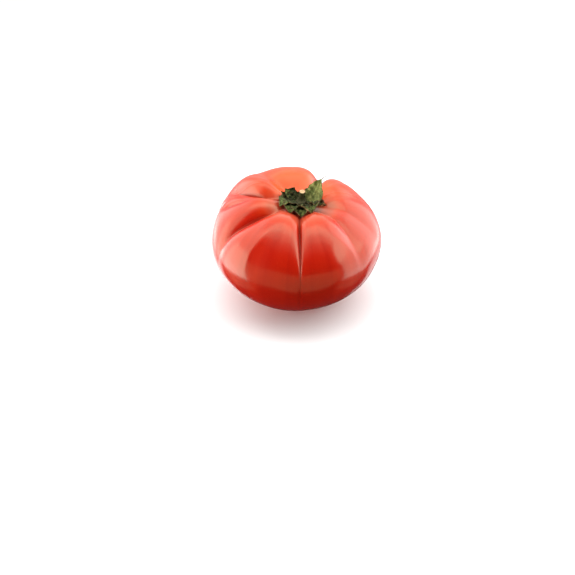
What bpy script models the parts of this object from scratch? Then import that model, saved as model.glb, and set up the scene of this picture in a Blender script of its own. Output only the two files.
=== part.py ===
"""Village tomato, modelled as picked: one ribbed fruit that rests on its blossom end, with the
cut stub of its stalk and the ten sepals of its calyx in the hollow on top.

Metres, +Z up. The origin is the middle of the fruit's outline, on the surface that it rests on.
Angles are degrees. An azimuth is measured from +X towards +Y, and -90 is the fruit's front. A
polar angle is 0 at the stalk and 180 at the blossom end."""

from collections import namedtuple
from math import asin, radians, sqrt

import bmesh
import bpy
import numpy as np
from mathutils import Vector

# The plain body of the fruit, before its ribs, and the bell-shaped hollow at its stalk
FRUIT_RADIUS = 0.0474
UPPER_HEIGHT = 0.0366
LOWER_HEIGHT = 0.0356
FOOT_RADIUS = 0.0140
HOLLOW_DEPTH = 0.0110
HOLLOW_RADIUS = 0.0156
HOLLOW_POWER = 2.6

# How much lower the shoulder is at +X than at the middle, and the polar angles between which that
# lean fades away
RIGHT_DROP = 0.0014
LEAN_FADE = (30, 100)

# Going round from the front: a groove, then the lobe that follows it. A groove has its azimuth at
# the stalk and on the flank, its depth, its width before and after it, the radius of its bottom,
# and the polar angles it starts and ends at. A lobe has its swelling outwards and the rise of its
# shoulder.
Rib = namedtuple("Rib", "stalk flank depth before after round start end swell rise")
RIBS = (
    Rib(-92, -90, 0.0036, 0.0044, 0.0046, 0.0004, 2, 84, 0.0044, -0.0036),
    Rib(-34, -42, 0.0038, 0.0044, 0.0114, 0.0017, 1, 86, 0.0003, -0.0041),
    Rib(5, 16, 0.0009, 0.0092, 0.0088, 0.0050, 1, 74, -0.0006, -0.0001),
    Rib(62, 71, 0.0096, 0.0053, 0.0044, 0.0016, 8, 98, 0.0006, 0.0010),
    Rib(138, 125, 0.0036, 0.0076, 0.0052, 0.0030, 3, 69, 0.0022, 0.0021),
    Rib(182, 157, 0.0044, 0.0056, 0.0018, 0.0004, 5, 80, -0.0001, 0.0008),
    Rib(187, 172, 0.0012, 0.0030, 0.0024, 0.0004, 27, 66, 0.0006, -0.0012),
    Rib(214, 204, 0.0053, 0.0072, 0.0048, 0.0008, 11, 104, 0.0004, -0.0012),
)
# Grooves of negative depth: the two low ridges on either side of the front crease
Ridge = namedtuple("Ridge", "stalk flank depth before after round start end")
RIDGES = (
    Ridge(-118, -129, -0.0009, 0.0080, 0.0060, 0.0006, 24, 96),
    Ridge(-68, -53, -0.0008, 0.0060, 0.0080, 0.0006, 24, 96),
)
# Polar angles: a groove deepens over the first and begins to fade after the second, counted from
# its start; a lobe swells fully up to the first of its pair and not at all past the second; its
# shoulder rises over one pair and falls over the next; a rib turns from its azimuth at the stalk
# to its azimuth on the flank
GROOVE_OPENING = 20
GROOVE_HOLD = 25
# The power of sin(polar) that a groove's width narrows with towards the stalk
GROOVE_SPREAD = 0.5
SWELL_FADE = (60, 130)
SWELL_POWER = 0.7
SHOULDER_RISE = (0, 30)
SHOULDER_FALL = (40, 90)
RIB_TURN = (15, 65)
# The outline seen from above: waves round it, their share of the radius, the azimuth of a crest
OUTLINE_WAVES = ((1, 0.060, 199), (2, 0.020, 1), (3, -0.008, 68))

# Mesh steps of the fruit: the rows are closer together near the stalk, the columns at the grooves
DEGREES_PER_COLUMN = 4.6
FEWEST_COLUMNS = 3
COLUMN_CROWDING = 0.6
ROWS = 30
ROW_CROWDING = 1.3

# The boss that the sepals grow from and the stub of the stalk on it, both above a small gap to the
# fruit. Each ring is (share of the way up, share of the radius).
GAP = 0.0007
BOSS_RADIUS = 0.0036
BOSS_HEIGHT = 0.0014
BOSS_RINGS = ((0.0, 0.45), (0.3, 0.85), (0.6, 1.0), (1.0, 0.68))
STUB_RADIUS = 0.0014
STUB_HEIGHT = 0.0069
STUB_RINGS = ((0.38, 1.12), (0.57, 1.0), (0.89, 1.04), (1.0, 1.14))
STUB_LEAN = 0.0006
STUB_SIDES = 14

# A sepal has the azimuths that it grows at and that its tip lies at, the tip's distance out from
# the stalk and its height over the hollow's floor, its slope at the root and at the tip, its
# width and its roll.
Sepal = namedtuple("Sepal", "root tip reach height rise fall width roll")
SEPALS = {
    "sepal_front": Sepal(-90, -90, 0.0140, 0.0026, 15, -60, 0.0042, 0),
    "sepal_front_left": Sepal(-122, -118, 0.0133, 0.0040, 20, -46, 0.0036, 0),
    "sepal_front_right": Sepal(-58, -63, 0.0133, 0.0038, 20, -48, 0.0036, 0),
    "sepal_right_curled": Sepal(-32, -30, 0.0162, 0.0050, 20, 40, 0.0034, 0),
    "sepal_right_tall": Sepal(12, 24, 0.0124, 0.0129, 42, 62, 0.0072, 24),
    "sepal_back": Sepal(60, 60, 0.0072, 0.0060, 50, 70, 0.0028, 0),
    "sepal_back_short": Sepal(108, 118, 0.0074, 0.0040, 40, 40, 0.0032, 0),
    "sepal_back_left": Sepal(179, 172, 0.0118, 0.0054, 24, 60, 0.0028, 0),
    "sepal_left_upright": Sepal(146, 156, 0.0093, 0.0077, 40, 76, 0.0032, -20),
    "sepal_left_curled": Sepal(-154, -146, 0.0138, 0.0040, 24, -40, 0.0036, 0),
}
SEPAL_THICKNESS = 0.0007
# Where a sepal leaves the boss, out from the stalk and up from the hollow's floor
SEPAL_ROOT_RADIUS = 0.0048
SEPAL_ROOT_HEIGHT = 0.0021
# How far a sepal's middle line overshoots the straight line from root to tip
SEPAL_BOW = 1.15
# Its width follows a sine from the first angle at the root to the second at the tip, and its edges
# are raised by a share of that width
SEPAL_WIDTH_ANGLES = (26, 172)
SEPAL_CUP = 0.08
SEPAL_STEPS = 10
SEPAL_COLUMNS = 4


def clear_scene():
    for thing in list(bpy.data.objects):
        bpy.data.objects.remove(thing, do_unlink=True)


def material(name, colour, roughness):
    made = bpy.data.materials.new(name)
    made.use_nodes = True
    surface = made.node_tree.nodes["Principled BSDF"]
    surface.inputs["Base Color"].default_value = (*colour, 1.0)
    surface.inputs["Roughness"].default_value = roughness
    surface.inputs["Metallic"].default_value = 0.0
    made.diffuse_color = (*colour, 1.0)
    return made


def object_from(name, mesh, finish):
    mesh.name = name
    made = bpy.data.objects.new(name, mesh)
    made.data.materials.append(finish)
    bpy.context.scene.collection.objects.link(made)
    mesh.shade_smooth()
    return made


def mesh_from(bm):
    mesh = bpy.data.meshes.new("shape")
    bm.to_mesh(mesh)
    bm.free()
    return mesh


def eased(x, low, high):
    """0 up to x = low, 1 from x = high, and an S-shaped step between."""
    share = np.clip((x - low) / (high - low), 0, 1)
    return share * share * (3 - 2 * share)


def rib_values(name):
    return np.array([getattr(rib, name) for rib in RIBS])


def rib_azimuths(name):
    """The grooves' azimuths, rising all the way round and closed by the first again."""
    around = rib_values(name)
    return np.append(around, around[0] + 360.0)


def rib_columns(step):
    """(lobe number, place across that lobe from -1 to 1) of every mesh column, so that a column
    runs down each groove."""
    lobes, places = [], []
    for number, span in enumerate(np.diff(rib_azimuths("flank"))):
        count = max(FEWEST_COLUMNS, round(span / step))
        even = -1 + 2 * np.arange(count) / count
        crowded = np.sin(even * np.pi / 2)
        lobes.append(np.full(count, number))
        places.append(even * (1 - COLUMN_CROWDING) + crowded * COLUMN_CROWDING)
    return np.concatenate(lobes), np.concatenate(places)


def lobe_value(name, lobe, place):
    """A lobe's value at its middle, eased into its neighbours' towards the grooves."""
    values = rib_values(name)
    beside = values[(lobe + np.where(place < 0, -1, 1)) % len(RIBS)]
    share = eased(np.abs(place), 0, 1) / 2
    return values[lobe] * (1 - share) + beside * share


def turned(stalk, flank, polar):
    """An azimuth that changes from its value at the stalk to its value on the flank."""
    outwards = eased(polar, *RIB_TURN)
    return flank * outwards + stalk * (1 - outwards)


def rib_azimuth(lobe, place, polar):
    """The azimuth of a place across a lobe."""
    across = (place + 1) / 2
    flank, stalk = rib_azimuths("flank"), rib_azimuths("stalk")
    at_flank = flank[lobe] * (1 - across) + flank[lobe + 1] * across
    at_stalk = stalk[lobe] * (1 - across) + stalk[lobe + 1] * across
    return turned(at_stalk, at_flank, polar)


def groove_depth(azimuth, polar):
    """The sum over the grooves and ridges of depth x exp(-distance / width), each with a rounded
    bottom, a width of its own on either side, and a start and an end along the fruit."""
    total = 0
    reach = FRUIT_RADIUS * np.sin(np.radians(polar)) ** GROOVE_SPREAD
    for rib in RIBS + RIDGES:
        line = turned(rib.stalk, rib.flank, polar)
        away = np.radians((azimuth - line + 180) % 360 - 180) * reach
        width = np.where(away < 0, rib.before, rib.after)
        fall = np.exp(-(np.hypot(away, rib.round) - rib.round) / width)
        opening = eased(polar, rib.start, rib.start + GROOVE_OPENING)
        fading = 1 - eased(polar, rib.start + GROOVE_HOLD, rib.end)
        total = total + rib.depth * fall * opening * fading
    return total


def fruit_points(polar, lobe, place):
    """The skin at a polar angle and a place on a lobe: an ellipsoid with a bell-shaped hollow at
    the stalk, pushed out along its own normal by the lobes and in by the grooves, with a wavy
    outline and shoulders of uneven height."""
    angle = np.radians(polar)
    above = polar < 90
    half_height = np.where(above, UPPER_HEIGHT, LOWER_HEIGHT)
    radius = FRUIT_RADIUS * np.sin(angle)
    out = radius / HOLLOW_RADIUS
    bell = np.where(above, HOLLOW_DEPTH * np.exp(-(out**HOLLOW_POWER)), 0)
    height = half_height * np.cos(angle) - bell
    along_r = FRUIT_RADIUS * np.cos(angle)
    bell_slope = bell * HOLLOW_POWER * out ** (HOLLOW_POWER - 1) / HOLLOW_RADIUS
    along_z = bell_slope * along_r - half_height * np.sin(angle)
    length = np.hypot(along_r, along_z)
    azimuth = rib_azimuth(lobe, place, polar)
    swelling = np.sin(angle) ** SWELL_POWER * (1 - eased(polar, *SWELL_FADE))
    push = lobe_value("swell", lobe, place) * swelling - groove_depth(azimuth, polar)
    shoulder = eased(polar, *SHOULDER_RISE) * (1 - eased(polar, *SHOULDER_FALL))
    height = height + along_r / length * push + lobe_value("rise", lobe, place) * shoulder
    radius = radius - along_z / length * push
    azimuth = np.radians(azimuth)
    for waves, share, crest in OUTLINE_WAVES:
        swing = share * np.cos(waves * (azimuth - radians(crest)))
        radius = radius * (1 + swing * np.sin(angle))
    x, y = radius * np.cos(azimuth), radius * np.sin(azimuth)
    lean = RIGHT_DROP * x / FRUIT_RADIUS * (1 - eased(polar, *LEAN_FADE))
    return np.stack([x, y, height - lean + foot_drop()], axis=-1)


def foot_angle():
    return 180 - np.degrees(asin(FOOT_RADIUS / FRUIT_RADIUS))


def foot_drop():
    """How far the foot lies below the widest part of the fruit."""
    return LOWER_HEIGHT * sqrt(1 - (FOOT_RADIUS / FRUIT_RADIUS) ** 2)


def fruit_rings():
    """The rings of the fruit from just below the stalk to the flat foot, and the stalk's own
    point, placed so that the outline's middle is at the origin."""
    lobe, place = rib_columns(DEGREES_PER_COLUMN)
    polar = foot_angle() * (np.arange(ROWS + 1) / ROWS) ** ROW_CROWDING
    rings = fruit_points(polar[:, None], lobe[None, :], place[None, :])
    rings[-1, :, 2] = 0
    outline = rings.reshape(-1, 3)
    middle = (outline.min(axis=0) + outline.max(axis=0)) / 2
    rings[:, :, :2] -= middle[:2]
    return rings[1:], rings[0, 0]


def make_fruit(rings, stalk_point, finish):
    """The skin as quads between the rings, closed by a fan at the stalk and one flat foot."""
    bm = bmesh.new()
    verts = [[bm.verts.new(point) for point in ring] for ring in rings]
    pole = bm.verts.new(stalk_point)
    count = len(verts[0])
    for i in range(count):
        j = (i + 1) % count
        bm.faces.new((pole, verts[0][i], verts[0][j]))
        for upper, lower in zip(verts, verts[1:]):
            bm.faces.new((upper[i], lower[i], lower[j], upper[j]))
    bm.faces.new(list(reversed(verts[-1])))
    return object_from("fruit", mesh_from(bm), finish)


def make_stub(stalk_point, finish):
    """The boss and the cut stub of the stalk, which leans a little: circles of given height and
    radius, bridged, with flat ends."""
    profile = [(up * BOSS_HEIGHT, out * BOSS_RADIUS) for up, out in BOSS_RINGS]
    profile += [(up * STUB_HEIGHT, out * STUB_RADIUS) for up, out in STUB_RINGS]
    bm = bmesh.new()
    loops = []
    for height, radius in profile:
        ring = bmesh.ops.create_circle(bm, segments=STUB_SIDES, radius=radius)["verts"]
        lean = STUB_LEAN * (height / STUB_HEIGHT) ** 2
        bmesh.ops.translate(bm, verts=ring, vec=Vector((lean, lean, GAP + height)))
        loops.append(ring)
    for lower, upper in zip(loops, loops[1:]):
        for i in range(STUB_SIDES):
            j = (i + 1) % STUB_SIDES
            bm.faces.new((lower[i], lower[j], upper[j], upper[i]))
    bm.faces.new(list(reversed(loops[0])))
    bm.faces.new(loops[-1])
    made = object_from("pedicel_stub", mesh_from(bm), finish)
    made.location = Vector(stalk_point)
    return made


def heading(azimuth, slope):
    """The unit vector that points along an azimuth and up a slope."""
    azimuth, slope = np.radians(azimuth), np.radians(slope)
    level = np.cos(slope)
    return np.array([np.cos(azimuth) * level, np.sin(azimuth) * level, np.sin(slope)])


def unit(vectors):
    return vectors / np.linalg.norm(vectors, axis=-1, keepdims=True)


def sepal_lines(shape):
    """Places along a sepal's middle, a cubic from root to tip that leaves and arrives at its
    slopes, and the directions to its side and up, rolled round that line."""
    start = SEPAL_ROOT_RADIUS * heading(shape.root, 0) + [0, 0, SEPAL_ROOT_HEIGHT]
    end = shape.reach * heading(shape.tip, 0) + [0, 0, shape.height]
    run = np.linalg.norm(end - start) * SEPAL_BOW
    leaving = run * heading(shape.root, shape.rise)
    arriving = run * heading(shape.tip, shape.fall)
    t = np.linspace(0, 1, SEPAL_STEPS + 1)[:, None]
    middle = (2 * t**3 - 3 * t**2 + 1) * start + (t**3 - 2 * t**2 + t) * leaving
    middle = middle + (3 * t**2 - 2 * t**3) * end + (t**3 - t**2) * arriving
    ahead = unit(np.gradient(middle, axis=0))
    outwards = heading(shape.root, 0) * (1 - t) + heading(shape.tip, 0) * t
    side = np.cross((0, 0, 1), outwards)
    side = unit(side - ahead * np.sum(side * ahead, axis=1, keepdims=True))
    up = np.cross(ahead, side)
    roll = radians(shape.roll)
    side, up = side * np.cos(roll) + up * np.sin(roll), up * np.cos(roll) - side * np.sin(roll)
    return middle, side, up


def sepal_sheet(shape):
    """The middle sheet of one sepal: its width swells to its widest and shrinks to the tip, and
    its edges are cupped up."""
    middle, side, up = sepal_lines(shape)
    root, tip = np.radians(SEPAL_WIDTH_ANGLES)
    breadth = shape.width * np.sin(np.linspace(root, tip, SEPAL_STEPS + 1))[:, None, None]
    across = np.linspace(-1, 1, SEPAL_COLUMNS + 1)[None, :, None]
    points = middle[:, None] + side[:, None] * across * breadth / 2
    points = points + up[:, None] * SEPAL_CUP * breadth * across**2
    bm = bmesh.new()
    rows = [[bm.verts.new(point) for point in row] for row in points]
    for lower, upper in zip(rows, rows[1:]):
        for k in range(SEPAL_COLUMNS):
            bm.faces.new((lower[k], upper[k], upper[k + 1], lower[k + 1]))
    return mesh_from(bm)


def make_sepal(name, shape, stalk_point, finish):
    made = object_from(name, sepal_sheet(shape), finish)
    made.location = Vector(stalk_point)
    solid = made.modifiers.new("thickness", "SOLIDIFY")
    solid.thickness = SEPAL_THICKNESS
    solid.offset = 0
    return made


def main():
    clear_scene()
    skin = material("tomato_skin", (0.72, 0.07, 0.035), 0.22)
    stalk = material("cut_stalk", (0.24, 0.26, 0.10), 0.7)
    leaf = material("sepal_green", (0.10, 0.16, 0.035), 0.6)
    rings, stalk_point = fruit_rings()
    make_fruit(rings, stalk_point, skin)
    make_stub(stalk_point, stalk)
    for name, shape in SEPALS.items():
        make_sepal(name, shape, stalk_point, leaf)


main()
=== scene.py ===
from collections import namedtuple

import bpy
import numpy as np
from mathutils import Matrix, Vector


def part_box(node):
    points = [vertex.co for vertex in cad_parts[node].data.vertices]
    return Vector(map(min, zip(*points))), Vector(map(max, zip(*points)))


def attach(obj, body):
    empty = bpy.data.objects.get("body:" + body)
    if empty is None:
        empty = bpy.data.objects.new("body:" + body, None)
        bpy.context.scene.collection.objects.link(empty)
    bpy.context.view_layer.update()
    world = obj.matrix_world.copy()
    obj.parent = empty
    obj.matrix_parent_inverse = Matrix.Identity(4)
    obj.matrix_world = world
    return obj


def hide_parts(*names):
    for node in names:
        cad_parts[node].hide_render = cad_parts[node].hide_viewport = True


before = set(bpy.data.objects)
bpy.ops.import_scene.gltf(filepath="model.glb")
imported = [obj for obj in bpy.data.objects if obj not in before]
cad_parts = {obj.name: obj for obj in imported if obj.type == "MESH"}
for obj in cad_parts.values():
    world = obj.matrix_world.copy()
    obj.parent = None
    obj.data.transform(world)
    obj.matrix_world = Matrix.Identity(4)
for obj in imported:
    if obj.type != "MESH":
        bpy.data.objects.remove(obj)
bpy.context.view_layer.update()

# The fruit is one ripe berry, ribbed and flattened, grown in one piece. Its skin is an ellipsoid with a
# bell-shaped hollow at the stalk, swollen into lobes between grooves, and it rests on a flat spot.
# Metres and degrees: azimuth -90 is the front, and polar angle 0 is at the stalk, 180 at the blossom end.
FRUIT_RADIUS = 0.0474
UPPER_HEIGHT = 0.0366
LOWER_HEIGHT = 0.0356
FOOT_RADIUS = 0.0140
FOOT_ROUNDING = 0.0009
FOOT_START = 100
HOLLOW_DEPTH = 0.0110
HOLLOW_RADIUS = 0.0156
HOLLOW_POWER = 2.6
# How much lower the right shoulder lies, and the polar angles between which that fades
RIGHT_DROP = 0.0014
LEAN_FADE = (30, 100)

# A groove has its azimuth at the stalk and on the flank, its depth, its width on either side, the radius
# of its bottom, and the polar angles it starts and ends at. A rib is a groove and the lobe that follows
# it, with the lobe's swelling outwards and the rise of its shoulder.
Rib = namedtuple("Rib", "stalk flank depth before after round start end swell rise")
RIBS = (
    Rib(-92, -90, 0.0044, 0.0056, 0.0058, 0.0004, 2, 77, 0.0044, -0.0036),
    Rib(-34, -42, 0.0038, 0.0044, 0.0114, 0.0017, 1, 86, 0.0003, -0.0041),
    Rib(5, 16, 0.0009, 0.0092, 0.0088, 0.0050, 1, 74, -0.0006, -0.0001),
    Rib(62, 71, 0.0096, 0.0053, 0.0044, 0.0016, 8, 98, 0.0006, 0.0010),
    Rib(138, 125, 0.0036, 0.0076, 0.0052, 0.0030, 3, 69, 0.0022, 0.0021),
    Rib(182, 157, 0.0062, 0.0056, 0.0018, 0.0004, 9, 76, -0.0001, -0.0002),
    Rib(188, 174, 0.0014, 0.0030, 0.0024, 0.0004, 27, 66, 0.0006, -0.0006),
    Rib(217, 204, 0.0053, 0.0068, 0.0048, 0.0008, 7, 104, 0.0004, -0.0012),
)
# A fold is a groove that parts no lobes. In turn: the narrow crease down the front, a broad low ridge on
# either side of it, which is a groove of negative depth, dark lines in the left grooves, darkened by painted
# shade, and faint ribs.
Fold = namedtuple("Fold", "stalk flank depth before after round start end")
FOLDS = (
    Fold(-92, -90, 0.0013, 0.0007, 0.0007, 0.0001, 6, 128),
    Fold(-118, -129, -0.0009, 0.0080, 0.0060, 0.0006, 31, 96),
    Fold(-68, -48, -0.0010, 0.0070, 0.0060, 0.0006, 31, 96),
    Fold(182, 157, 0.0003, 0.0014, 0.0008, 0.0002, 24, 62),
    Fold(188, 174, 0.0006, 0.0016, 0.0008, 0.0003, 32, 62),
    Fold(217, 204, 0.0005, 0.0018, 0.0008, 0.0002, 24, 92),
    Fold(-136, -136, 0.0002, 0.0026, 0.0026, 0.0008, 14, 86),
    Fold(-107, -109, 0.00012, 0.0018, 0.0018, 0.0005, 12, 84),
    Fold(-74, -71, 0.00016, 0.0018, 0.0018, 0.0005, 12, 84),
    Fold(-12, -14, 0.0003, 0.0030, 0.0030, 0.0008, 14, 80),
    Fold(36, 46, 0.0004, 0.0030, 0.0030, 0.0008, 14, 80),
    Fold(98, 98, 0.0003, 0.0030, 0.0030, 0.0008, 14, 80),
    Fold(146, 142, 0.0003, 0.0028, 0.0028, 0.0008, 14, 80),
)
# Degrees from a groove's start to its full depth, and to where it begins to fade towards its end
GROOVE_OPENING = 20
GROOVE_HOLD = 25
# Grooves draw together at the ends of the fruit with this power of the sine of the polar angle
GROOVE_SPREAD = 0.5
# Polar angles: where the swelling of the lobes fades, where the shoulders rise and fall, and where a
# groove turns from its azimuth at the stalk to the one on the flank
SWELL_FADE = (60, 130)
SHOULDER_RISE = (0, 30)
SHOULDER_FALL = (40, 90)
RIB_TURN = (15, 65)
SWELL_POWER = 0.7
# The outline seen from above: waves round it, their share of the radius, the azimuth of a crest
OUTLINE_WAVES = ((1, 0.060, 199), (2, 0.020, 1), (3, -0.008, 68))
# Low swells all over: waves round, waves from stalk to blossom end, height, azimuth of a crest
SWELLS = ((5, 3.0, 0.00022, 40), (9, 4.5, 0.00012, 115), (14, 7.0, 0.00006, 250))
FRUIT_COLUMNS_PER_DEGREE = 1.2
FRUIT_ROWS = 210
COLUMN_CROWDING = 0.6
# The depth at which a groove's painted crease shade is full, and how many times deeper a fold counts in that
FLESH_SHADE_DEPTH = 0.006
FOLD_SHADING = 7


def eased(x, low, high):
    """0 up to low and 1 from high, or the other way round where low is the higher, with an S-shaped step
    between."""
    share = np.clip((x - low) / (high - low), 0, 1)
    return share * share * (3 - 2 * share)


def rib_values(name):
    return np.array([getattr(rib, name) for rib in RIBS])


def rib_azimuths(name):
    """The grooves' azimuths, rising all the way round and closed by the first again."""
    around = rib_values(name)
    return np.append(around, around[0] + 360.0)


def rib_columns():
    """Lobe number and place across it, -1 to 1, of every column, closer together at the grooves."""
    counts = np.rint(np.diff(rib_azimuths("flank")) * FRUIT_COLUMNS_PER_DEGREE).astype(int)
    lobe = np.repeat(np.arange(len(RIBS)), counts)
    even = np.concatenate([np.arange(count) / count for count in counts]) * 2 - 1
    crowded = np.sin(even * np.pi / 2)
    return lobe, even * (1 - COLUMN_CROWDING) + crowded * COLUMN_CROWDING


def lobe_value(name, lobe, place):
    """A lobe's value at its middle, eased into its neighbours' towards the grooves."""
    values = rib_values(name)
    beside = values[(lobe + np.where(place < 0, -1, 1)) % len(RIBS)]
    share = eased(np.abs(place), 0, 1) / 2
    return values[lobe] * (1 - share) + beside * share


def across_lobe(name, lobe, place):
    """The azimuth at a place across a lobe, from the groove before it at -1 to the one after it at 1."""
    around = rib_azimuths(name)
    return around[lobe] * (1 - place) / 2 + around[lobe + 1] * (1 + place) / 2


def turned(stalk, flank, polar):
    """An azimuth that changes from its value at the stalk to its value on the flank."""
    outwards = eased(polar, *RIB_TURN)
    return flank * outwards + stalk * (1 - outwards)


def groove_depth(grooves, azimuth, polar):
    """The sum over the grooves of depth x exp(-distance / width), each with a rounded bottom, a width of
    its own on either side, and a start and an end along the fruit."""
    total = 0
    reach = FRUIT_RADIUS * np.sin(np.radians(polar)) ** GROOVE_SPREAD
    for groove in grooves:
        line = turned(groove.stalk, groove.flank, polar)
        away = np.radians((azimuth - line + 180) % 360 - 180) * reach
        width = np.where(away < 0, groove.before, groove.after)
        fall = np.exp(-(np.hypot(away, groove.round) - groove.round) / width)
        opening = eased(polar, groove.start, groove.start + GROOVE_OPENING)
        fading = 1 - eased(polar, groove.start + GROOVE_HOLD, groove.end)
        total = total + groove.depth * fall * opening * fading
    return total


def fruit_surface(polar, lobe, place):
    """An ellipsoid with a bell-shaped hollow, pushed out along its own normal by lobes and low swells and
    in by grooves, with a wavy outline, uneven shoulders and a flattened foot. After x, y and z come
    cos and sin of the azimuth, the polar angle as a share of 180, and the groove's shade."""
    angle = np.radians(polar)
    above = polar < 90
    half_height = np.where(above, UPPER_HEIGHT, LOWER_HEIGHT)
    radius = FRUIT_RADIUS * np.sin(angle)
    out = radius / HOLLOW_RADIUS
    bell = np.where(above, HOLLOW_DEPTH * np.exp(-(out**HOLLOW_POWER)), 0)
    height = half_height * np.cos(angle) - bell
    along_r = FRUIT_RADIUS * np.cos(angle)
    bell_slope = bell * HOLLOW_POWER * out ** (HOLLOW_POWER - 1) / HOLLOW_RADIUS
    along_z = bell_slope * along_r - half_height * np.sin(angle)
    length = np.hypot(along_r, along_z)
    azimuth = turned(across_lobe("stalk", lobe, place), across_lobe("flank", lobe, place), polar)
    grooves = groove_depth(RIBS, azimuth, polar)
    folds = groove_depth(FOLDS, azimuth, polar)
    swelling = np.sin(angle) ** SWELL_POWER * (1 - eased(polar, *SWELL_FADE))
    push = lobe_value("swell", lobe, place) * swelling - grooves - folds
    for waves, rows, swell, crest in SWELLS:
        crests = np.cos(np.radians(waves * (azimuth - crest)))
        push = push + swell * crests * np.sin(rows * angle) * np.sin(angle)
    shoulder = eased(polar, *SHOULDER_RISE) * (1 - eased(polar, *SHOULDER_FALL))
    height = height + along_r / length * push + lobe_value("rise", lobe, place) * shoulder
    radius = radius - along_z / length * push
    for waves, share, crest in OUTLINE_WAVES:
        radius = radius * (1 + share * np.cos(np.radians(waves * (azimuth - crest))) * np.sin(angle))
    azimuth = np.radians(azimuth)
    x, y = radius * np.cos(azimuth), radius * np.sin(azimuth)
    lean = RIGHT_DROP * x / FRUIT_RADIUS * (1 - eased(polar, *LEAN_FADE))
    drop = LOWER_HEIGHT * np.sqrt(1 - (FOOT_RADIUS / FRUIT_RADIUS) ** 2)
    height = height - lean + drop
    rested = (height + np.hypot(height, FOOT_ROUNDING)) / 2
    height = np.where(polar > FOOT_START, rested, height)
    shade = np.clip((grooves + folds * FOLD_SHADING) / FLESH_SHADE_DEPTH, 0, 1)
    along = polar / 180 * np.ones_like(azimuth)
    return np.stack([x, y, height, np.cos(azimuth), np.sin(azimuth), along, shade], axis=-1)


def shell(rings):
    """Points and faces of a closed surface. Its rings run anticlockwise as seen from the first, and each
    end is closed at the mean of its last ring."""
    rows, columns, values = rings.shape
    points = np.concatenate([rings.reshape(-1, values), rings[[0, -1]].mean(axis=1)])
    grid = np.arange(rows * columns).reshape(rows, columns)
    beside = np.roll(grid, -1, axis=1)
    quads = np.stack([grid[:-1], grid[1:], beside[1:], beside[:-1]], axis=-1).reshape(-1, 4)
    first = np.stack([np.full(columns, rows * columns), grid[0], beside[0]], axis=-1)
    last = np.stack([np.full(columns, rows * columns + 1), beside[-1], grid[-1]], axis=-1)
    return points, quads.tolist() + first.tolist() + last.tolist()


def piece(name, points, faces, finish):
    """An object from points and faces. A point's first three numbers are its place, the next three are
    kept as the attribute "grown", and the last as "shade", for its finish to read."""
    mesh = bpy.data.meshes.new(name)
    mesh.from_pydata(points[:, :3].tolist(), [], faces)
    grown = mesh.attributes.new("grown", "FLOAT_VECTOR", "POINT")
    grown.data.foreach_set("vector", points[:, 3:6].ravel())
    shade = mesh.attributes.new("shade", "FLOAT", "POINT")
    shade.data.foreach_set("value", points[:, 6])
    mesh.shade_smooth()
    mesh.materials.append(finish)
    made = bpy.data.objects.new(name, mesh)
    bpy.context.scene.collection.objects.link(made)
    return made


class Wire:
    """What a shader node gives out. Python's arithmetic on it adds Math nodes to the same finish."""

    def __init__(self, finish, socket):
        self.finish = finish
        self.socket = socket

    def __add__(self, other):
        return self.finish.math("ADD", self, other)

    def __sub__(self, other):
        return self.finish.math("SUBTRACT", self, other)

    def __rsub__(self, other):
        return self.finish.math("SUBTRACT", other, self)

    def __mul__(self, other):
        return self.finish.math("MULTIPLY", self, other)

    __radd__ = __add__
    __rmul__ = __mul__

    def step(self, low, high):
        """0 up to low and 1 from high, or the other way round where low is the higher."""
        values = {"Value": self, "From Min": low, "From Max": high}
        return self.finish.node("MapRange", {"interpolation_type": "SMOOTHSTEP"}, values)


class Finish:
    """A material built up node by node round its Principled surface."""

    def __init__(self, name, **constants):
        self.material = bpy.data.materials.new(name)
        self.material.use_nodes = True
        self.tree = self.material.node_tree
        self.surface = self.tree.nodes["Principled BSDF"]
        for socket, value in constants.items():
            self.surface.inputs[socket.replace("_", " ")].default_value = value

    def feed(self, socket, value):
        if isinstance(value, Wire):
            self.tree.links.new(value.socket, socket)
        elif socket.type == "RGBA":
            socket.default_value = (*value, 1.0)
        else:
            socket.default_value = value

    def node(self, kind, settings, inputs, output=0):
        """A node of a kind, with its settings made first and then its sockets' values or wires."""
        made = self.tree.nodes.new("ShaderNode" + kind)
        for name, value in settings.items():
            setattr(made, name, value)
        for name, value in inputs.items():
            self.feed(made.inputs[name], value)
        return Wire(self, made.outputs[output])

    def math(self, operation, *values):
        return self.node("Math", {"operation": operation}, dict(enumerate(values)))

    def mix(self, share, plain, other):
        """The first colour where the share is 0 and the other where it is 1."""
        return self.node("Mix", {"data_type": "RGBA"}, {0: share, 6: plain, 7: other}, output=2)

    def place(self):
        """Where a point lies, in metres."""
        return self.node("TexCoord", {}, {}, output="Object")

    def grown(self):
        """The three numbers that a piece keeps at each point as "grown"."""
        return self.node("Attribute", {"attribute_name": "grown"}, {}, output="Vector")

    def shade(self):
        """The number that a piece keeps at each point as "shade"."""
        return self.node("Attribute", {"attribute_name": "shade"}, {}, output="Fac")

    def axis(self, name):
        """One of the three numbers of "grown": X, Y or Z."""
        return self.node("SeparateXYZ", {}, {"Vector": self.grown()}, output=name)

    def noise(self, vector, scale, detail, stretch=(1, 1, 1)):
        """Noise, 0 to 1, with a scale per unit of the vector and a stretch of its three axes."""
        squeezed = self.node("VectorMath", {"operation": "MULTIPLY"}, {0: vector, 1: stretch})
        return self.node("TexNoise", {}, {"Vector": squeezed, "Scale": scale, "Detail": detail})

    def bump(self, height, distance, strength):
        """A bent normal, from a height of 0 to 1 that stands for the distance in metres."""
        return self.node("Bump", {}, {"Height": height, "Distance": distance, "Strength": strength})

    def paint(self, **wires):
        for socket, value in wires.items():
            self.feed(self.surface.inputs[socket.replace("_", " ")], value)
        return self.material


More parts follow.
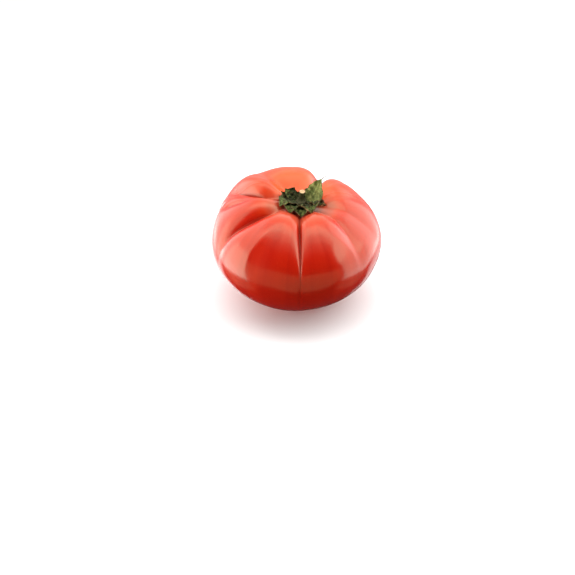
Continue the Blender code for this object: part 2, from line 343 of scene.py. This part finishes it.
RIPE_RED = (0.41, 0.010, 0.002)
DEEP_RED = (0.34, 0.005, 0.001)
ORANGE = (0.70, 0.060, 0.008)
PAINTED_CREASE_SHADE = (0.24, 0.004, 0.001)
PAINTED_CALYX_SHADOW = (0.11, 0.012, 0.004)
PAINTED_REFLECTION_PINK = (0.40, 0.055, 0.026)
CORK_BROWN = (0.22, 0.10, 0.035)
SPECK = (0.78, 0.16, 0.05)
# Bands round the fruit, each from its edge to where it is full, as shares of the way from stalk to
# blossom end
ORANGE_ROUND_STALK = (0.24, 0.05)
ORANGE_BEHIND = (0.42, 0.18)
# Painted reflection on the front lobes round the hollow
PAINTED_REFLECTION_ROUND_HOLLOW = (0.17, 0.12)
# Painted shadow under the calyx, on the front of the hollow
PAINTED_SHADOW_IN_HOLLOW = (0.092, 0.060)
DULL_BEHIND = (0.45, 0.25)
CORK_AT_END = (0.975, 0.985)
# The same by how far backwards the skin lies: 1 at the back, -1 at the front
FRONT = (0.3, -0.2)
BACK = (-0.2, 0.9)
DULL_BACK = (-0.1, 0.8)
# Streaks are noise that is stretched along the ribs: across by the first two numbers, along by the third
STREAK_STRETCH = (9, 9, 1.3)
FINE_STREAK_STRETCH = (40, 40, 3.0)
# Clouds and specks to the metre, and the depth of the skin's unevenness
CLOUD_SCALE = 55.0
SPECK_SCALE = 720.0
SKIN_BUMP = 0.00012
SKIN_ROUGHNESS = 0.16


def skin_finish():
    """Waxy red skin: deeper and lighter streaks that follow the ribs, orange round the stalk and on the
    back, painted shade of deep red in the grooves, a painted pale reflection on the front round the hollow
    and a painted brown shadow within it under the calyx, fine pale specks and a cork ring at the blossom
    end. It is duller on the back, in the deepest grooves and on the cork."""
    skin = Finish(
        "tomato_skin",
        Specular_IOR_Level=0.45,
        Specular_Tint=(0.84, 1.0, 0.68, 1.0),
        Subsurface_Weight=0.12,
        Subsurface_Radius=(1.0, 0.20, 0.08),
        Subsurface_Scale=0.004,
    )
    place = skin.place()
    grown = skin.grown()
    shade = skin.shade()
    polar = skin.axis("Z")
    backwards = skin.axis("Y")
    streaks = skin.noise(grown, 1.0, 3.0, stretch=STREAK_STRETCH)
    fine_streaks = skin.noise(grown, 1.0, 3.0, stretch=FINE_STREAK_STRETCH)
    clouds = skin.noise(place, CLOUD_SCALE, 2.0)
    specks = skin.node("TexVoronoi", {}, {"Vector": place, "Scale": SPECK_SCALE}, output="Distance")
    colour = skin.mix(streaks.step(0.30, 0.72) * 0.7, RIPE_RED, DEEP_RED)
    behind = backwards.step(*BACK) * polar.step(*ORANGE_BEHIND) * 0.6
    round_stalk = polar.step(*ORANGE_ROUND_STALK) * 0.75
    colour = skin.mix(behind + round_stalk * clouds.step(0.25, 0.6), colour, ORANGE)
    # Painted shade: the skin is darkened to deep red in the deepest grooves and creases, where shade falls
    colour = skin.mix(shade.step(0.5, 1.0) * 0.6, colour, PAINTED_CREASE_SHADE)
    front = backwards.step(*FRONT)
    # Painted reflection: a paler pink on the front round the hollow, where the lobes' tops catch the light
    colour = skin.mix(front * polar.step(*PAINTED_REFLECTION_ROUND_HOLLOW) * 0.85, colour, PAINTED_REFLECTION_PINK)
    # Painted shadow: dark brown on the front close round the calyx, where its leaves shade the skin
    colour = skin.mix(front * polar.step(*PAINTED_SHADOW_IN_HOLLOW) * 0.8, colour, PAINTED_CALYX_SHADOW)
    colour = skin.mix(specks.step(0.16, 0.04) * 0.12, colour, SPECK)
    cork = polar.step(*CORK_AT_END)
    colour = skin.mix(cork * clouds.step(0.2, 0.5), colour, CORK_BROWN)
    bump = skin.bump(clouds * 0.6 + fine_streaks * 0.25 + specks * 0.08, SKIN_BUMP, 0.35)
    dulled = backwards.step(*DULL_BACK) * polar.step(*DULL_BEHIND)
    roughness = SKIN_ROUGHNESS + fine_streaks * 0.05 + clouds * 0.05 + dulled * 0.14
    roughness = roughness + shade.step(0.8, 1.0) * 0.15 + cork * 0.4
    return skin.paint(Base_Color=colour, Roughness=roughness, Normal=bump)


lobe, place = rib_columns()
polar = 180 * np.arange(1, FRUIT_ROWS) / FRUIT_ROWS
rings = fruit_surface(polar[:, None], lobe[None, :], place[None, :])
# The middle of its outline goes to the middle of the frame's fruit, and its foot down to the floor
low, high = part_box("fruit")
outline = rings.reshape(-1, rings.shape[-1])[:, :3]
rings[:, :, :2] += (np.add(low, high)[:2] - outline.min(axis=0)[:2] - outline.max(axis=0)[:2]) / 2
rings[:, :, 2] -= outline[:, 2].min()
fruit = piece("tomato_skin", *shell(rings), skin_finish())
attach(fruit, "root")
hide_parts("fruit")

# The stub is what is left of the cut fruit stalk: fibrous, ribbed, a little flared where it was cut, and
# it grows out of the green boss that carries the sepals, on the floor of the hollow.
STALK_GAP = 0.0007
STUB_HEIGHT = 0.0069
BOSS_HEIGHT = 0.0014
# Height and radius along the profile, from the cut end down to the hollow
STUB_PROFILE = (
    (0.0068, 0.0006), (0.0070, 0.0013), (0.0069, 0.00172), (0.0066, 0.00176), (0.0059, 0.00150),
    (0.0048, 0.00138), (0.0036, 0.00140), (0.0026, 0.0016), (0.0018, 0.0022), (0.0011, 0.0033),
    (0.0005, 0.0033), (0.0, 0.0018),
)
STUB_LEAN = 0.0006
# Its ribs: their number, their share of the radius, and their turn in radians over the stub's height
STUB_RIBS = 7
STUB_RIB_SHARE = 0.06
STUB_RIB_TURN = 3
# It is also a little three-sided, by this share of the radius
STUB_THREE_SIDED = 0.03
STUB_SIDES = 56
STUB_ROWS = 90
# The rows between which the cut end gives way to the side, and the unevenness of the cut
CUT_EDGE_ROWS = (15, 10)
CUT_UNEVENNESS = 0.0001
CUT_WAVES = 5
CUT_TAN = (0.46, 0.26, 0.12)
PITH = (0.58, 0.40, 0.22)
STALK_GREEN = (0.036, 0.036, 0.010)
STALK_PALE = (0.08, 0.07, 0.022)
STALK_BROWN = (0.07, 0.035, 0.012)
FIBRE_STRETCH = (5, 5, 0.8)
STALK_FLECK_SCALE = 1500.0
STALK_ROUGHNESS = 0.6
STALK_BUMP = 0.0002


def cubic(t, start, leaving, end, arriving):
    """The cubic from start, at t = 0, to end, at t = 1, with the slope that it leaves and arrives with."""
    line = (2 * t**3 - 3 * t**2 + 1) * start + (t**3 - 2 * t**2 + t) * leaving
    return line + (3 * t**2 - 2 * t**3) * end + (t**3 - t**2) * arriving


def smooth_path(points, count):
    """A curve through the points, at count places: cubics, with each point's slope from its neighbours."""
    points = np.asarray(points, dtype=float)
    slopes = np.gradient(points, axis=0)
    at = np.linspace(0, len(points) - 1, count)
    before = np.minimum(at.astype(int), len(points) - 2)
    t = (at - before)[:, None]
    return cubic(t, points[before], slopes[before], points[before + 1], slopes[before + 1])


def stub_surface():
    """The profile turned round a leaning axis, with ribs down its sides. After x, y and z come cos and
    sin of the azimuth and the height share, and 1 on the cut end."""
    profile = smooth_path(STUB_PROFILE, STUB_ROWS)
    height, radius = profile[:, :1], profile[:, 1:]
    azimuth = np.arange(STUB_SIDES) / STUB_SIDES * 2 * np.pi
    share = height / STUB_HEIGHT
    rib = STUB_RIB_SHARE * np.cos(STUB_RIBS * azimuth + STUB_RIB_TURN * share)
    rib = rib + STUB_THREE_SIDED * np.cos(3 * azimuth - 1)
    radius = radius * (1 + rib * eased(height, 0, BOSS_HEIGHT))
    lean = STUB_LEAN * share**2
    cut = eased(np.arange(STUB_ROWS), *CUT_EDGE_ROWS)[:, None] * np.ones_like(radius)
    return np.stack([
        stalk[0] + lean + radius * np.cos(azimuth),
        stalk[1] + lean + radius * np.sin(azimuth),
        stalk[2] + STALK_GAP + height + CUT_UNEVENNESS * np.cos(CUT_WAVES * azimuth) * cut,
        np.cos(azimuth) * np.ones_like(radius),
        np.sin(azimuth) * np.ones_like(radius),
        share * np.ones_like(radius),
        cut,
    ], axis=-1)


def stalk_finish():
    """Green fibrous stalk with paler lines along it and brown flecks; the cut end is dry and tan."""
    stem = Finish("cut_stalk", Specular_IOR_Level=0.3)
    fibres = stem.noise(stem.grown(), 1.0, 3.0, stretch=FIBRE_STRETCH)
    flecks = stem.noise(stem.place(), STALK_FLECK_SCALE, 3.0)
    colour = stem.mix(fibres.step(0.4, 0.65), STALK_GREEN, STALK_PALE)
    colour = stem.mix(flecks.step(0.55, 0.7) * 0.8, colour, STALK_BROWN)
    end = stem.mix(flecks.step(0.35, 0.65), CUT_TAN, PITH)
    colour = stem.mix(stem.shade(), colour, end)
    bump = stem.bump(fibres * 0.6 + flecks * 0.4, STALK_BUMP, 0.7)
    return stem.paint(Base_Color=colour, Roughness=STALK_ROUGHNESS + flecks * 0.25, Normal=bump)


stub_low, stub_high = (np.array(corner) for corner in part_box("pedicel_stub"))
stalk = np.append((stub_low + stub_high)[:2] / 2, stub_low[2] - STALK_GAP)
stub = piece("stalk_stub", *shell(stub_surface()), stalk_finish())
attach(stub, "root")
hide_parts("pedicel_stub")

# The sepals are the ten dried leaves of the calyx: thin, hairy, crumpled and curled, with brown edges.
# Each grows from the boss round the stub, lies over the hollow or stands up, and overlaps the next.
SEPAL_ROOT_RADIUS = 0.0030
SEPAL_ROOT_HEIGHT = 0.0019
SEPAL_STEPS = 64
SEPAL_COLUMNS = 18
SEPAL_THICKNESS = 0.00026
MIDRIB_THICKNESS = 0.00035
CRUMPLE_HEIGHT = 0.00055
# How far a sepal's middle line overshoots the straight line from root to tip
SEPAL_BOW = 1.15
# Its width follows a power of a sine, from the first angle at the root to the second at the tip
SEPAL_WIDTH_ANGLES = (36, 177)
SEPAL_WIDTH_POWER = 1.1
# Its edges wave in and out by this share of the width, with so many radians from root to tip, between
# the midrib and where the wave is full
EDGE_WAVE_SHARE = 0.10
EDGE_WAVES = 9
EDGE_WAVE_ZONE = (0, 0.6)
# The share of its curl that it has at the root, and the midrib's breadth as a share of its half width
CURL_AT_ROOT = 0.35
MIDRIB_BREADTH = 0.16
# Slanted waves that crumple it: radians from root to tip, and from the midrib to an edge
CRUMPLE_WAVES = ((13, 4), (-15, 6), (23, -9))
# Radians by which one sepal's waves are shifted from the last one's
SEPAL_SHIFT = 2.4
# A sepal has the azimuths that it grows at and that its tip lies at, the tip's distance out from the
# stalk and its height over the hollow's floor, its slope at the root and at the tip, its width, its roll
# and its twist, how many degrees its edges curl up, the height and number of the ruffles on its edges,
# and how dry it is.
Sepal = namedtuple("Sepal", "root tip reach height rise fall width roll twist curl ruffle waves dry")
SEPALS = {
    "sepal_front": Sepal(-90, -90, 0.0144, 0.0015, 14, -80, 0.0116, 6, -6, 22, 0.0010, 2.2, 0.30),
    "sepal_front_left": Sepal(-122, -117, 0.0138, 0.0026, 16, -80, 0.0124, 8, -6, 26, 0.0012, 2.6, 0.30),
    "sepal_front_right": Sepal(-58, -65, 0.0137, 0.0028, 16, -80, 0.0124, -8, 6, 26, 0.0012, 2.4, 0.30),
    "sepal_right_curled": Sepal(-26, -29, 0.0162, 0.0048, 20, 40, 0.0090, -10, 0, 70, 0.0010, 2.0, 0.60),
    "sepal_right_tall": Sepal(-6, 24, 0.0124, 0.0131, 34, 66, 0.0128, 34, -14, 34, 0.0006, 1.8, 0.05),
    "sepal_back": Sepal(58, 59, 0.0058, 0.0063, 50, 70, 0.0050, 0, 0, 50, 0.0006, 1.6, 0.30),
    "sepal_back_short": Sepal(108, 122, 0.0060, 0.0036, 40, 40, 0.0064, 0, 0, 40, 0.0008, 1.6, 0.35),
    "sepal_back_left": Sepal(178, 170, 0.0116, 0.0070, 30, 70, 0.0056, -20, 0, 60, 0.0006, 2.0, 0.55),
    "sepal_left_upright": Sepal(152, 164, 0.0094, 0.0082, 40, 78, 0.0082, -14, 0, 24, 0.0004, 2.0, 0.10),
    "sepal_left_curled": Sepal(-156, -147, 0.0142, 0.0034, 22, -60, 0.0112, 10, -6, 24, 0.0008, 2.4, 0.30),
}
HAIRS_PER_SEPAL = 110
HAIR_LENGTHS = (0.00035, 0.0010)
HAIR_RADIUS = 0.000028
HAIR_SCATTER = 0.5
HAIR_SEED = 7
# A direction that no hair points in, from which the two across each hair are worked out
ASKEW = (0.3, 0.5, 0.8)
LEAF_GREEN = (0.030, 0.046, 0.006)
LEAF_PALE = (0.17, 0.20, 0.050)
FRESH_GREEN = (0.070, 0.110, 0.018)
KHAKI = (0.30, 0.30, 0.085)
# Dark for the leaf's mottling, and for the painted shade near its root
LEAF_DARK_MOTTLE_AND_ROOT_SHADE = (0.007, 0.009, 0.001)
LEAF_GREY = (0.075, 0.100, 0.035)
DRY_TAN = (0.34, 0.20, 0.085)
DRY_BROWN = (0.075, 0.032, 0.012)
# Mottling, patches and flecks to the metre, and the depth of the leaf's unevenness
MOTTLE_SCALE = 900.0
PATCH_SCALE = 330.0
LEAF_FLECK_SCALE = 1600.0
LEAF_BUMP = 0.0005
LEAF_ROUGHNESS = 0.55
# Veins: how many start along the midrib, and how far they slant back on the way to the edge
VEINS = 7.0
VEIN_SLANT = 2.2
# The dryness, higher towards the edge and the tip, between which a leaf turns from green to brown
DRYING = (1.25, 1.55)


def heading(azimuth, slope):
    """The unit vector that points along an azimuth and up a slope, both in degrees."""
    azimuth, slope = np.radians(azimuth), np.radians(slope)
    return np.array([np.cos(azimuth) * np.cos(slope), np.sin(azimuth) * np.cos(slope), np.sin(slope)])


def sepal_lines(shape, along):
    """Places along a sepal's middle, a cubic from root to tip that leaves and arrives at its slopes, and
    the directions to its side and up, rolled round that line."""
    start = SEPAL_ROOT_RADIUS * heading(shape.root, 0) + [0, 0, SEPAL_ROOT_HEIGHT]
    end = shape.reach * heading(shape.tip, 0) + [0, 0, shape.height]
    run = np.linalg.norm(end - start) * SEPAL_BOW
    leaving, arriving = run * heading(shape.root, shape.rise), run * heading(shape.tip, shape.fall)
    t = along[:, None]
    middle = cubic(t, start, leaving, end, arriving)
    ahead = np.gradient(middle, axis=0)
    ahead /= np.linalg.norm(ahead, axis=1, keepdims=True)
    outwards = heading(shape.root, 0) * (1 - t) + heading(shape.tip, 0) * t
    side = np.cross((0, 0, 1), outwards)
    side = side - ahead * np.sum(side * ahead, axis=1, keepdims=True)
    side /= np.linalg.norm(side, axis=1, keepdims=True)
    up = np.cross(ahead, side)
    roll = np.radians(shape.roll + shape.twist * t)
    side, up = side * np.cos(roll) + up * np.sin(roll), up * np.cos(roll) - side * np.sin(roll)
    return stalk + middle, side, up


def sepal_surface(shape, phase):
    """A strip whose cross-section is an arc with its edges curled up, ruffled by waves that grow towards
    them and crumpled by slanted ones, thick at the midrib and thin at the edge: its upper face from one
    edge to the other, and its lower face back. After x, y and z come the share along it, the place across
    it, 1 on the upper face and -1 on the lower, and how dry it is."""
    along = np.linspace(0, 1, SEPAL_STEPS)
    middle, side, up = sepal_lines(shape, along)
    across = np.sin(np.linspace(-1, 1, SEPAL_COLUMNS) * np.pi / 2)
    t = np.concatenate([across, across[-2:0:-1]])[None, :]
    face = np.concatenate([np.ones(SEPAL_COLUMNS), -np.ones(SEPAL_COLUMNS - 2)])[None, :]
    face[:, [0, SEPAL_COLUMNS - 1]] = 0
    s = along[:, None]
    root, tip = np.radians(SEPAL_WIDTH_ANGLES)
    half = shape.width / 2 * np.sin(root + (tip - root) * s) ** SEPAL_WIDTH_POWER
    edge_wave = EDGE_WAVE_SHARE * np.sin(EDGE_WAVES * s + 2 * phase) * np.sign(t)
    half = half * (1 + edge_wave * eased(np.abs(t), *EDGE_WAVE_ZONE))
    curl = np.radians(shape.curl) * (CURL_AT_ROOT + (1 - CURL_AT_ROOT) * s)
    sideways = np.sin(curl * t) / curl * half
    raised = (1 - np.cos(curl * t)) / curl * half
    ripple = np.sin(2 * np.pi * shape.waves * s + phase + np.sign(t))
    ruffle = shape.ruffle * t**2 * ripple * np.sin(np.pi * s)
    broad, slanting, narrow = [
        np.sin(lengthways * s + crossways * t + (number + 1) * phase)
        for number, (lengthways, crossways) in enumerate(CRUMPLE_WAVES)
    ]
    crumple = CRUMPLE_HEIGHT * np.sin(np.pi * s) * (broad * slanting + 0.5 * narrow)
    thickness = SEPAL_THICKNESS + MIDRIB_THICKNESS * np.exp(-((t / MIDRIB_BREADTH) ** 2)) * (1 - s)
    raised = raised + np.abs(ruffle) + crumple + face * thickness / 2
    points = middle[:, None] + side[:, None] * sideways[..., None] + up[:, None] * raised[..., None]
    marks = np.stack(np.broadcast_arrays(s, t, face, shape.dry * np.ones_like(s)), axis=-1)
    return np.concatenate([points, marks], axis=-1)


def hair_cones(roots, directions, lengths):
    """One thin cone, with three sides and a closed base, for each root, direction and length."""
    across = np.cross(directions, ASKEW)
    across /= np.linalg.norm(across, axis=1, keepdims=True)
    beside = np.cross(directions, across)
    turns = np.radians([0, -120, -240])[None, :, None]
    ring = across[:, None] * np.cos(turns) + beside[:, None] * np.sin(turns)
    places = roots[:, None, :3] + ring * HAIR_RADIUS
    tips = roots[:, None, :3] + (directions * lengths[:, None])[:, None]
    marks = np.repeat(roots[:, None, 3:], 4, axis=1)
    points = np.concatenate([np.concatenate([places, tips], axis=1), marks], axis=-1)
    first = 4 * np.arange(len(roots))[:, None, None]
    corners = first + np.array([[0, 1, 2], [3, 1, 0], [3, 2, 1], [3, 0, 2]])
    return points.reshape(-1, roots.shape[1]), corners.reshape(-1, 3).tolist()


def sepal_hairs(rings, random):
    """Hairs on both faces and along the edges, each pointing away from the leaf, give or take a little."""
    rows = random.integers(2, len(rings) - 2, HAIRS_PER_SEPAL)
    columns = random.integers(0, rings.shape[1], HAIRS_PER_SEPAL)
    roots = rings[rows, columns]
    ahead = rings[rows + 1, columns, :3] - rings[rows - 1, columns, :3]
    around = rings[rows, (columns + 1) % rings.shape[1], :3] - rings[rows, columns - 1, :3]
    outwards = np.cross(around, ahead)
    directions = -outwards / np.linalg.norm(outwards, axis=1, keepdims=True)
    directions = directions + HAIR_SCATTER * random.normal(size=directions.shape)
    directions /= np.linalg.norm(directions, axis=1, keepdims=True)
    return hair_cones(roots, directions, random.uniform(*HAIR_LENGTHS, HAIRS_PER_SEPAL))


def joined(*shells):
    """Several shells as one: their points in turn, and their faces counted on."""
    points = np.concatenate([shell_points for shell_points, _ in shells])
    faces, count = [], 0
    for shell_points, shell_faces in shells:
        faces += [[corner + count for corner in face] for face in shell_faces]
        count += len(shell_points)
    return points, faces


def leaf_finish(name, green, pale, dark_share):
    """Green leaf with painted shade that darkens it near its root, deep in the calyx's cup, dark mottled,
    with fine pale flecks, a pale midrib and veins that branch towards the edge, a greyer underside, dark
    edges, and rim and tip dried to tan and brown."""
    leaf = Finish(name, Specular_IOR_Level=0.12, Sheen_Weight=0.03, Sheen_Roughness=0.5)
    place = leaf.place()
    along = leaf.axis("X")
    across = leaf.axis("Y")
    face = leaf.axis("Z")
    out = leaf.math("ABSOLUTE", across)
    mottle = leaf.noise(place, MOTTLE_SCALE, 3.0)
    patches = leaf.noise(place, PATCH_SCALE, 2.0)
    flecks = leaf.noise(place, LEAF_FLECK_SCALE, 2.0)
    off_vein = leaf.math("PINGPONG", along * VEINS - out * VEIN_SLANT, 0.5)
    veins = off_vein.step(0.10, 0.02) * 0.5
    midrib = out.step(0.12, 0.03)
    lines = leaf.math("MAXIMUM", midrib, veins) * 0.55
    colour = leaf.mix(patches.step(0.38, 0.62) * 0.6 + (0.4 - dark_share * 0.5), green, pale)
    colour = leaf.mix(lines, colour, pale)
    colour = leaf.mix(mottle.step(0.45, 0.62) * dark_share, colour, LEAF_DARK_MOTTLE_AND_ROOT_SHADE)
    # Painted shade: dark near the root of each leaf, deep inside the calyx's cup
    colour = leaf.mix(along.step(0.85, 0.30) * dark_share * 1.15, colour, LEAF_DARK_MOTTLE_AND_ROOT_SHADE)
    colour = leaf.mix(face.step(0.2, -0.2) * 0.6, colour, LEAF_GREY)
    colour = leaf.mix(flecks.step(0.56, 0.66) * dark_share * 0.7, colour, pale)
    colour = leaf.mix(out.step(0.80, 0.98) * 0.6, colour, DRY_BROWN)
    dryness = out * 0.5 + along * 0.6 + leaf.shade() * 0.8 + mottle * 0.5
    dried = leaf.mix(patches.step(0.38, 0.54), DRY_TAN, DRY_BROWN)
    colour = leaf.mix(dryness.step(*DRYING), colour, dried)
    bump = leaf.bump(mottle * 0.5 + lines, LEAF_BUMP, 0.8)
    return leaf.paint(Base_Color=colour, Roughness=LEAF_ROUGHNESS + mottle * 0.25, Normal=bump)


# The tall sepal's tip is drawn out into a dry thread: its bends, out from the tip
WISP_BENDS = ((0.0, 0.0, 0.0), (0.0020, 0.0011, 0.0008), (0.0041, 0.0022, 0.0013), (0.0078, 0.0044, 0.0015))
WISP_RADIUS = 0.00028
WISP_TAPER = 0.8
WISP_STEPS = 24
WISP_SIDES = 6
# What a sepal keeps at each point, for the wisp: share along, place across, face and dryness
WISP_MARKS = (1.0, 0.4, 1.0, 1.0)


def wisp_surface(tip):
    """A tapering thread from the tip along the bends, as rings across it."""
    path = tip[:3] + smooth_path(WISP_BENDS, WISP_STEPS)
    ahead = np.gradient(path, axis=0)
    ahead /= np.linalg.norm(ahead, axis=1, keepdims=True)
    side = np.cross(ahead, (0, 0, 1))
    side /= np.linalg.norm(side, axis=1, keepdims=True)
    up = np.cross(side, ahead)
    turn = np.arange(WISP_SIDES)[None, :, None] / WISP_SIDES * 2 * np.pi
    radius = WISP_RADIUS * (1 - WISP_TAPER * np.linspace(0, 1, WISP_STEPS))[:, None, None]
    points = path[:, None] + radius * (up[:, None] * np.cos(turn) - side[:, None] * np.sin(turn))
    marks = np.broadcast_to(WISP_MARKS, (WISP_STEPS, WISP_SIDES, len(WISP_MARKS)))
    return np.concatenate([points, marks], axis=-1)


random = np.random.default_rng(HAIR_SEED)
dark_leaf = leaf_finish("dried_sepal", LEAF_GREEN, LEAF_PALE, dark_share=0.75)
pale_leaf = leaf_finish("pale_sepal", FRESH_GREEN, KHAKI, dark_share=0.3)
for number, (name, shape) in enumerate(SEPALS.items()):
    rings = sepal_surface(shape, phase=SEPAL_SHIFT * number)
    shells = [shell(rings), sepal_hairs(rings, random)]
    finish = dark_leaf
    if name == "sepal_right_tall":
        shells.append(shell(wisp_surface(rings[-1].mean(axis=0))))
        finish = pale_leaf
    leaf = piece("leaf_" + name, *joined(*shells), finish)
    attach(leaf, "root")
    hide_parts(name)

# The floor is a pale sheet that curves up into a wall far off all round, as in a studio. It takes the
# fruit's shadow near the middle and is plain white further out, and neither lights nor shines in the fruit.
FLOOR_RINGS = (0.02, 0.3, 0.8)
FLOOR_FLAT = 1.6
FLOOR_BEND = 0.9
FLOOR_BEND_STEPS = 12
WALL_HEIGHT = 3.0
FLOOR_SIDES = 96
FLOOR_WHITE = (0.80, 0.80, 0.80)
WALL_GLOW = 1.05
SHADOW_REACH = (0.16, 0.42)


def floor_sheet():
    """Rings of a bowl: flat, then a quarter turn up, then an upright wall."""
    bend = np.linspace(0, np.pi / 2, FLOOR_BEND_STEPS)
    flat = np.zeros(len(FLOOR_RINGS))
    radius = np.concatenate([FLOOR_RINGS, FLOOR_FLAT + FLOOR_BEND * np.sin(bend), [FLOOR_FLAT + FLOOR_BEND]])
    height = np.concatenate([flat, FLOOR_BEND * (1 - np.cos(bend)), [WALL_HEIGHT]])
    turn = np.arange(FLOOR_SIDES) / FLOOR_SIDES * 2 * np.pi
    x, y = radius[:, None] * np.cos(turn), radius[:, None] * np.sin(turn)
    return np.stack([x, y, height[:, None] * np.ones_like(x)], axis=-1)


def floor_finish():
    """Matt pale sheet near the fruit, which glows plain white further out."""
    pale = Finish("pale_floor", Roughness=0.8, Specular_IOR_Level=0.0, Base_Color=(*FLOOR_WHITE, 1.0))
    away = pale.node("VectorMath", {"operation": "LENGTH"}, {0: pale.place()}, output="Value")
    glow = pale.node("Emission", {}, {"Color": (1.0, 1.0, 1.0), "Strength": WALL_GLOW})
    matt = Wire(pale, pale.surface.outputs[0])
    both = pale.node("MixShader", {}, {0: away.step(*SHADOW_REACH), 1: matt, 2: glow})
    pale.tree.links.new(both.socket, pale.tree.nodes["Material Output"].inputs["Surface"])
    return pale.material


sheet = floor_sheet()
rows, columns = sheet.shape[:2]
grid = np.arange(rows * columns).reshape(rows, columns)
beside = np.roll(grid, -1, axis=1)
floor_faces = np.stack([grid[1:], beside[1:], beside[:-1], grid[:-1]], axis=-1).reshape(-1, 4).tolist()
floor_mesh = bpy.data.meshes.new("floor")
floor_mesh.from_pydata(sheet.reshape(-1, 3).tolist(), [], floor_faces + [grid[0].tolist()])
floor_mesh.materials.append(floor_finish())
floor = bpy.data.objects.new("floor", floor_mesh)
bpy.context.scene.collection.objects.link(floor)
floor.visible_diffuse = False
floor.visible_glossy = False
floor.visible_shadow = False

# The light is soft and comes from panels all round: strong ones at the sides, low and high, one overhead
# that is brightest in the middle, and weaker ones behind. Dim warm ones low in front and at the sides give
# the lower half its glow, and two low ones behind light the lower back.
WHITE = (1, 1, 1)
PEACH = (1.0, 0.80, 0.55)
APRICOT = (1.0, 0.75, 0.5)
ROOM_LIGHT = 0.05
# A panel has a corner, its two edges from there, its radiance and its colour.
Panel = namedtuple("Panel", "corner along up radiance colour", defaults=[WHITE])
PANELS = {
    "left_panel": Panel((-1.0, -0.64, -0.6), (0, 0.94, 0), (0, 0, 1.05), 5.8),
    "left_high_panel": Panel((-1.0, -0.5, 0.45), (0, 0.8, 0), (0, 0, 0.85), 3.0),
    "left_back_panel": Panel((-1.0, 0.3, -0.6), (0, 1.1, 0), (0, 0, 1.9), 3.4),
    "right_panel": Panel((1.0, -0.45, -0.6), (0, 0.75, 0), (0, 0, 1.05), 3.0),
    "right_high_panel": Panel((1.0, -0.5, 0.45), (0, 0.8, 0), (0, 0, 0.85), 5.0),
    "right_back_panel": Panel((1.0, 0.3, -0.6), (0, 1.1, 0), (0, 0, 1.9), 3.6),
    "top_far_front_panel": Panel((-1.0, -0.60, 1.3), (2.0, 0, 0), (0, 0.30, 0), 0.5),
    "top_front_panel": Panel((-1.0, -0.30, 1.3), (2.0, 0, 0), (0, 0.25, 0), 2.2),
    "top_panel": Panel((-1.0, -0.05, 1.3), (2.0, 0, 0), (0, 0.5, 0), 4.8),
    "top_back_panel": Panel((-1.0, 0.45, 1.3), (2.0, 0, 0), (0, 0.95, 0), 2.2),
    "back_panel": Panel((-1.0, 1.4, -0.6), (2.0, 0, 0), (0, 0, 1.05), 0.8),
    "back_high_panel": Panel((-1.0, 1.4, 0.45), (2.0, 0, 0), (0, 0, 0.85), 2.4),
    "low_front_panel": Panel((-2.2, -1.3, -1.0), (4.4, 0, 0), (0, 0, 1.4), 0.8, PEACH),
    "low_left_panel": Panel((-1.0, -0.7, -1.3), (0, 1.0, 0), (0, 0, 0.7), 0.7, APRICOT),
    "low_right_panel": Panel((1.0, -0.6, -1.3), (0, 0.9, 0), (0, 0, 0.7), 0.4, APRICOT),
    "low_back_left_panel": Panel((-2.2, 1.4, -2.2), (1.8, 0, 0), (0, 0, 1.6), 2.2),
    "low_back_right_panel": Panel((0.6, 1.4, -2.2), (1.6, 0, 0), (0, 0, 1.6), 1.4),
}


def panel_light(name, panel):
    """An area light that fills a rectangle from its corner along two edges and faces the fruit."""
    corner, along, up = Vector(panel.corner), Vector(panel.along), Vector(panel.up)
    light = bpy.data.lights.new(name, "AREA")
    light.shape = "RECTANGLE"
    light.size = along.length
    light.size_y = up.length
    light.energy = panel.radiance * np.pi * along.length * up.length
    light.color = panel.colour
    made = bpy.data.objects.new(name, light)
    centre = corner + (along + up) / 2
    x, y = along.normalized(), up.normalized()
    z = x.cross(y)
    facing = 1 if z.dot(centre) > 0 else -1
    turn = Matrix((x * facing, y, z * facing)).transposed().to_4x4()
    made.matrix_world = Matrix.Translation(centre) @ turn
    made.visible_camera = False
    bpy.context.scene.collection.objects.link(made)


for name, panel in PANELS.items():
    panel_light(name, panel)
world = bpy.data.worlds.new("studio")
bpy.context.scene.world = world
world.use_nodes = True
world.node_tree.nodes["Background"].inputs["Color"].default_value = (ROOM_LIGHT, ROOM_LIGHT, ROOM_LIGHT, 1)

# The camera looks from the front and well above, as in the photograph, with a long lens.
CAMERA_ELEVATION = np.radians(39.5)
CAMERA_DISTANCE = 0.777
CAMERA_MIDDLE = Vector((0, 0, 0.0342))
FOCAL_LENGTH = 85
SENSOR_WIDTH = 36
# How far the picture's middle lies left of the fruit's and below it
AIM_LEFT = 0.0050
AIM_BELOW = 0.0273
back = Vector((0, -np.cos(CAMERA_ELEVATION), np.sin(CAMERA_ELEVATION)))
camera_up = Vector((0, np.sin(CAMERA_ELEVATION), np.cos(CAMERA_ELEVATION)))
aim = CAMERA_MIDDLE - Vector((AIM_LEFT, 0, 0)) - camera_up * AIM_BELOW
camera = bpy.data.objects.new("camera", bpy.data.cameras.new("camera"))
bpy.context.scene.collection.objects.link(camera)
camera.data.lens = FOCAL_LENGTH
camera.data.sensor_width = SENSOR_WIDTH
camera.location = CAMERA_MIDDLE + back * CAMERA_DISTANCE
camera.rotation_mode = "QUATERNION"
camera.rotation_quaternion = (aim - camera.location).to_track_quat("-Z", "Y")
bpy.context.scene.camera = camera
bpy.context.scene.view_settings.view_transform = "Standard"
